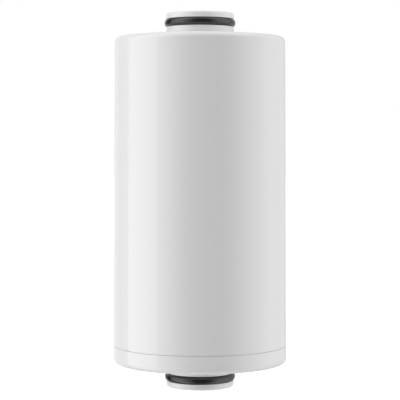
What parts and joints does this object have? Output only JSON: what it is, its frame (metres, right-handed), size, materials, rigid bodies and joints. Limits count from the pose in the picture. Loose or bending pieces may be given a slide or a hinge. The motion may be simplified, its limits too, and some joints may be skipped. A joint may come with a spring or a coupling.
{
  "type": "shower filter cartridge",
  "caption": "Replaceable in-line shower filter cartridge: closed white cylinder with an O-ringed spigot on its axis at each end, packed with layers of filter media between screens.",
  "frame": {"origin": "centre of the lower spigot's end face, the lowest point of the cartridge", "axes": "+Z along the axis from the lower spigot to the upper one; +X and +Y are any two radii, because the outside is round"},
  "size_m": [0.0768, 0.0768, 0.1654],
  "materials": {
    "white_abs": "gloss",
    "black_rubber": "satin",
    "natural_pp": "satin",
    "stainless_wire": "satin",
    "polyester_felt": "matte",
    "mineral_ceramic": "matte",
    "sulphite_grains": "matte",
    "copper_zinc_grains": "satin",
    "activated_carbon": "matte"
  },
  "bodies": {
    "root": {"housing_shell": "white_abs", "bottom_cap": "white_abs", "upper_o_ring": "black_rubber", "lower_o_ring": "black_rubber", "upper_strainer_frame": "natural_pp", "upper_strainer_mesh": "stainless_wire", "lower_strainer_frame": "natural_pp", "lower_strainer_mesh": "stainless_wire", "lower_support_plate": "natural_pp", "lower_screen": "stainless_wire", "lower_felt_pad": "polyester_felt", "ceramic_ball_bed": "mineral_ceramic", "lower_divider_pad": "polyester_felt", "sulphite_bed": "sulphite_grains", "middle_divider_pad": "polyester_felt", "copper_zinc_bed": "copper_zinc_grains", "upper_divider_pad": "polyester_felt", "carbon_bed": "activated_carbon", "upper_felt_pad": "polyester_felt", "upper_screen": "stainless_wire", "upper_support_plate": "natural_pp"}
  },
  "joints": []
}
